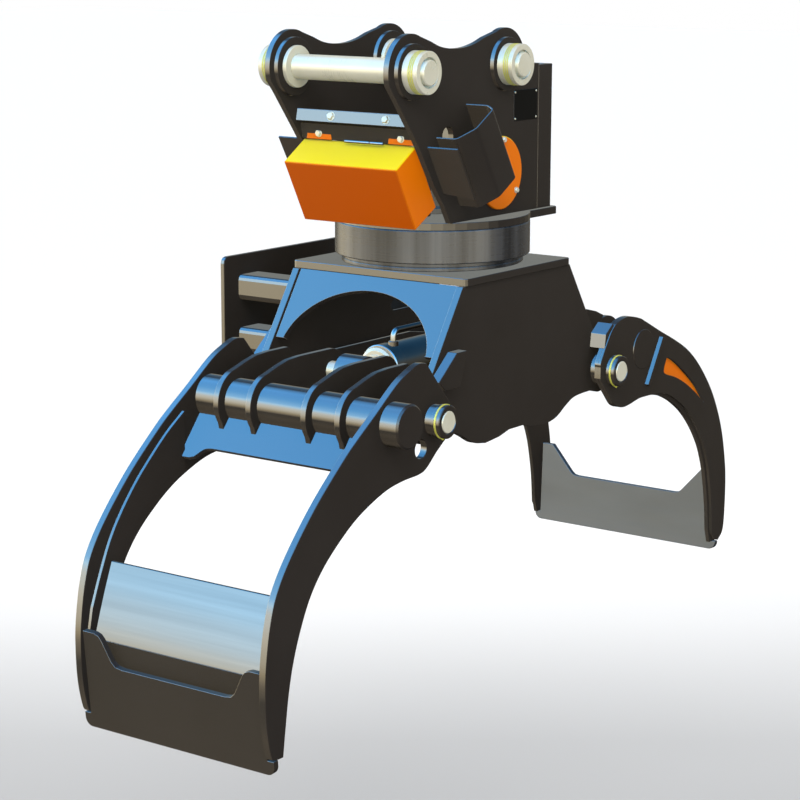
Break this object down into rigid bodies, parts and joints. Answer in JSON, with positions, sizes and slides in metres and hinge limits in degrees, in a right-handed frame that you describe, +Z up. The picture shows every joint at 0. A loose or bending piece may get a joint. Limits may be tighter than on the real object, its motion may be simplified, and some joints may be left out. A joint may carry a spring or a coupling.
{
  "type": "excavator log grapple",
  "caption": "Excavator log grapple: twin-pin hanger head, slew bearing, and two curved claws closed by one hydraulic cylinder.",
  "frame": {"origin": "middle of the stick pin, on its axis", "axes": "+X from the left claw to the right claw, +Y along the pins to the far side, +Z up along the slew axis"},
  "size_m": [2.6943, 1.021, 2.1139],
  "materials": {
    "black_paint": "gloss two-part enamel on steel plate",
    "orange_paint": "gloss enamel on folded sheet",
    "zinc_plate": "turned and zinc plated",
    "machined_steel": "turned, oiled",
    "chrome_rod": "ground and hard chromed",
    "blade_steel": "bare wear plate",
    "cast_iron": "painted casting"
  },
  "bodies": {
    "head": {"ear_near": "black_paint", "ear_far": "black_paint", "stick_bush_near": "zinc_plate", "stick_bush_far": "zinc_plate", "link_bush_near": "zinc_plate", "link_bush_far": "zinc_plate", "stick_pin": "zinc_plate", "link_pin": "zinc_plate", "head_base_plate": "black_paint", "rear_channel": "black_paint", "front_bracket": "black_paint", "front_cover": "orange_paint", "hood_near": "black_paint", "hood_far": "black_paint", "hose_guard_near": "black_paint", "hose_guard_far": "black_paint", "guard_disc_near": "orange_paint", "guard_disc_far": "orange_paint", "slew_motor_near": "cast_iron", "slew_motor_far": "cast_iron", "rotary_manifold": "machined_steel", "valve_block": "cast_iron", "slew_outer_ring": "machined_steel"},
    "frame": {"slew_inner_ring": "machined_steel", "frame_top_plate": "black_paint", "side_plate_near": "black_paint", "side_plate_far": "black_paint", "arch_plate_left": "black_paint", "arch_plate_right": "black_paint", "standoff_plate": "black_paint", "standoff_tube_upper": "black_paint", "standoff_tube_lower": "black_paint", "pivot_shaft_left": "zinc_plate", "pivot_shaft_right": "zinc_plate"},
    "left_claw": {"left_tine_near": "black_paint", "left_tine_far": "black_paint", "left_tube": "black_paint", "left_rib_1": "black_paint", "left_rib_2": "black_paint", "left_rib_3": "black_paint", "left_rib_4": "black_paint", "left_web": "black_paint", "left_blade": "black_paint", "left_shell": "blade_steel", "left_lever_pin": "zinc_plate"},
    "right_claw": {"right_tine_near": "black_paint", "right_tine_far": "black_paint", "right_tube": "black_paint", "right_rib_1": "black_paint", "right_rib_2": "black_paint", "right_rib_3": "black_paint", "right_rib_4": "black_paint", "right_web": "black_paint", "right_blade": "blade_steel", "right_lever_pin": "zinc_plate", "window_panel_near": "orange_paint", "window_panel_far": "orange_paint"},
    "rod": {"cylinder_rod": "chrome_rod"},
    "barrel": {"cylinder_barrel": "black_paint", "cylinder_gland": "machined_steel"}
  },
  "joints": [
    {"name": "slew", "type": "hinge", "parent": "head", "child": "frame", "pos_m": [-0.062, 0, -0.652], "axis": [0, 0, 1], "continuous": true},
    {"name": "left_claw_pivot", "type": "hinge", "parent": "frame", "child": "left_claw", "pos_m": [-0.578, 0, -1.065], "axis": [0, -1, 0], "range_deg": [0, 67]},
    {"name": "right_claw_pivot", "type": "hinge", "parent": "frame", "child": "right_claw", "pos_m": [0.454, 0, -1.065], "axis": [0, 1, 0], "range_deg": [0, 67]},
    {"name": "rod_eye", "type": "hinge", "parent": "left_claw", "child": "rod", "pos_m": [-0.482, 0, -0.977], "axis": [0, 1, 0], "range_deg": [0, 67]},
    {"name": "barrel_eye", "type": "hinge", "parent": "right_claw", "child": "barrel", "pos_m": [0.358, 0, -0.977], "axis": [0, -1, 0], "range_deg": [0, 67]}
  ],
  "couplings": [
    {"joint": "right_claw_pivot", "follows": "left_claw_pivot", "ratio": 1},
    {"joint": "rod_eye", "follows": "left_claw_pivot", "ratio": 1},
    {"joint": "barrel_eye", "follows": "left_claw_pivot", "ratio": 1}
  ]
}
